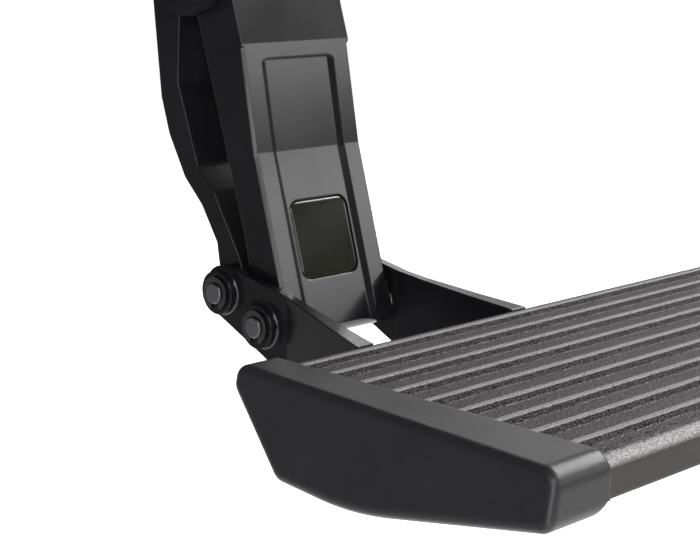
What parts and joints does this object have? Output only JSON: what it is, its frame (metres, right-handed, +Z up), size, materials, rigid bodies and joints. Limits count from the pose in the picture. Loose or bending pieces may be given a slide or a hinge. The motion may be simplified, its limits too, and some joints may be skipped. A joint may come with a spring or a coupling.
{
  "type": "power running board",
  "caption": "Powered vehicle side step: ribbed tread board with end caps on parallel-arm linkages that fold it up and inboard under the sill, driven by a gearmotor.",
  "frame": {"origin": "mid span on the plane of the two bracket flanges, midway between their bolt rows", "axes": "+X along the board towards the driven end, +Y inboard, +Z up out of the flanges"},
  "size_m": [1.2112, 0.4698, 0.2492],
  "materials": {
    "coated_casting": "black satin powder coat",
    "tread": "charcoal sand texture coat",
    "cap_plastic": "black fine grain moulding",
    "badge": "black gloss, blank",
    "pin_steel": "ground steel",
    "clip_steel": "blackened spring steel",
    "bush": "bearing plastic",
    "fastener": "zinc plate",
    "gear_steel": "machined steel",
    "gearbox_cast": "cast",
    "motor_paint": "black paint",
    "gland_rubber": "moulded"
  },
  "bodies": {
    "mounts": {"near_mount_bracket": "coated_casting", "far_mount_bracket": "coated_casting", "near_upper_pins": "pin_steel", "far_upper_pin": "pin_steel", "upper_pin_clips": "clip_steel", "gearbox": "gearbox_cast", "gearbox_lid": "gearbox_cast", "gearbox_screws": "fastener", "motor_can": "motor_paint", "motor_end_bell": "gearbox_cast", "lead_gland": "gland_rubber"},
    "near_outer": {"near_outer_arm": "coated_casting", "near_outer_bushes": "bush", "near_badge_plate": "badge"},
    "near_inner": {"near_inner_arm": "coated_casting", "near_inner_bushes": "bush"},
    "far_outer": {"far_outer_arm": "coated_casting", "far_outer_bushes": "bush", "far_badge_plate": "badge"},
    "far_inner": {"far_inner_arm": "coated_casting", "far_inner_bushes": "bush", "drive_shaft": "pin_steel", "drive_shaft_clips": "clip_steel", "driven_gear": "gear_steel"},
    "step": {"tread_board": "tread", "near_end_cap": "cap_plastic", "far_end_cap": "cap_plastic", "end_cap_screws": "fastener", "near_stirrup": "coated_casting", "far_stirrup": "coated_casting", "near_lower_pins": "pin_steel", "far_lower_pins": "pin_steel", "lower_pin_clips": "clip_steel", "slot_bolts": "fastener", "slot_nuts": "fastener"},
    "pinion": {"drive_pinion": "gear_steel"}
  },
  "joints": [
    {"name": "near_outer_swing", "type": "hinge", "parent": "mounts", "child": "near_outer", "pos_m": [-0.47625, -0.0127, -0.0651], "axis": [1, 0, 0], "range_deg": [0, 86]},
    {"name": "near_inner_swing", "type": "hinge", "parent": "mounts", "child": "near_inner", "pos_m": [-0.47625, 0.0127, -0.054], "axis": [1, 0, 0], "range_deg": [0, 86]},
    {"name": "far_outer_swing", "type": "hinge", "parent": "mounts", "child": "far_outer", "pos_m": [0.47625, -0.0127, -0.0651], "axis": [1, 0, 0], "range_deg": [0, 86]},
    {"name": "far_inner_swing", "type": "hinge", "parent": "mounts", "child": "far_inner", "pos_m": [0.47625, 0.0127, -0.054], "axis": [1, 0, 0], "range_deg": [0, 86]},
    {"name": "step_level", "type": "hinge", "parent": "near_outer", "child": "step", "pos_m": [-0.47625, -0.05656, -0.20855], "axis": [1, 0, 0], "range_deg": [-86, 0]},
    {"name": "pinion_spin", "type": "hinge", "parent": "mounts", "child": "pinion", "pos_m": [0.47625, 0.0487, -0.054], "axis": [1, 0, 0], "range_deg": [-172, 0]}
  ],
  "couplings": [
    {"joint": "near_inner_swing", "follows": "near_outer_swing", "ratio": 1},
    {"joint": "far_outer_swing", "follows": "near_outer_swing", "ratio": 1},
    {"joint": "far_inner_swing", "follows": "near_outer_swing", "ratio": 1},
    {"joint": "step_level", "follows": "near_outer_swing", "ratio": -1},
    {"joint": "pinion_spin", "follows": "near_outer_swing", "ratio": -2}
  ]
}
